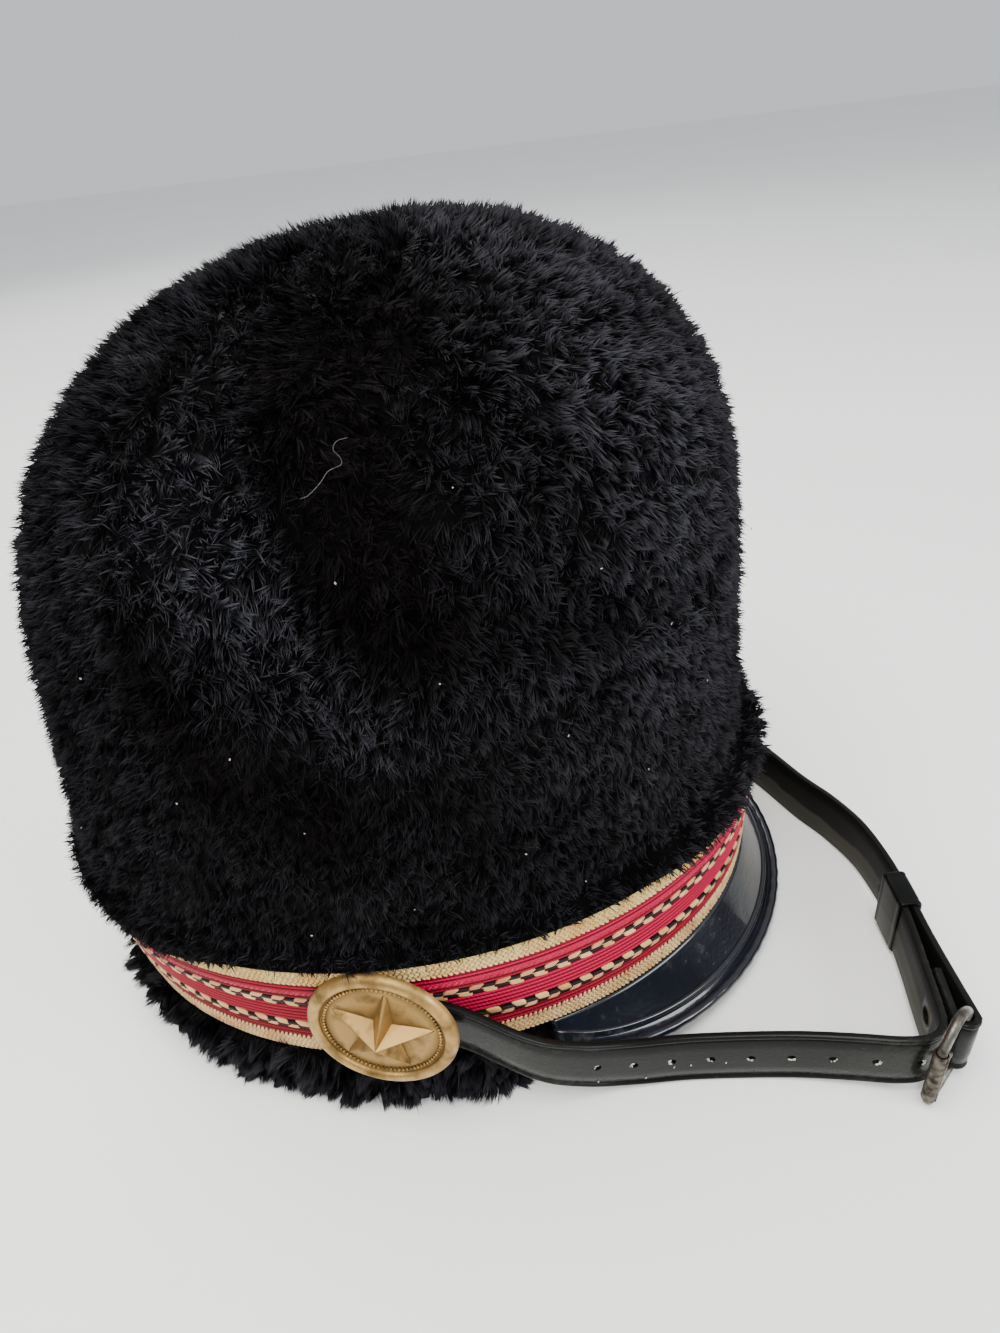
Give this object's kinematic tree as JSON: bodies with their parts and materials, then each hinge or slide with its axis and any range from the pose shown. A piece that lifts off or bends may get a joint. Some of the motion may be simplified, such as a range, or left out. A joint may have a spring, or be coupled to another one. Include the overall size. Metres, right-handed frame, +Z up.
{
  "type": "shako hat",
  "caption": "Tall plush band shako with a steep patent peak, a gold and crimson braided band, round brass star buttons and a buckled chin strap resting in front.",
  "frame": {"origin": "under the middle of the whole part's box, on the surface it stands on", "axes": "+Z up; the front of the hat and its peak look along -Y; the wearer's right is -X"},
  "size_m": [0.2064, 0.2662, 0.2189],
  "materials": {
    "plush": "deep black plush pile",
    "gold_braid": "woven metallic gold braid",
    "crimson_cord": "crimson corded ribbon with rows of gold and black dashes",
    "patent_leather": "glossy black patent",
    "brass": "aged satin brass",
    "aged_steel": "worn dark steel"
  },
  "bodies": {
    "root": {"crown": "plush", "fur_hem": "plush", "braid_lower": "gold_braid", "ribbon_crimson": "crimson_cord", "braid_upper": "gold_braid", "peak": "patent_leather", "peak_binding": "patent_leather", "button_right": "brass", "button_left": "brass", "strap_holed": "patent_leather", "strap_plain": "patent_leather", "keeper": "patent_leather", "buckle_frame": "aged_steel", "buckle_roller": "aged_steel", "buckle_prong": "aged_steel"}
  },
  "joints": []
}
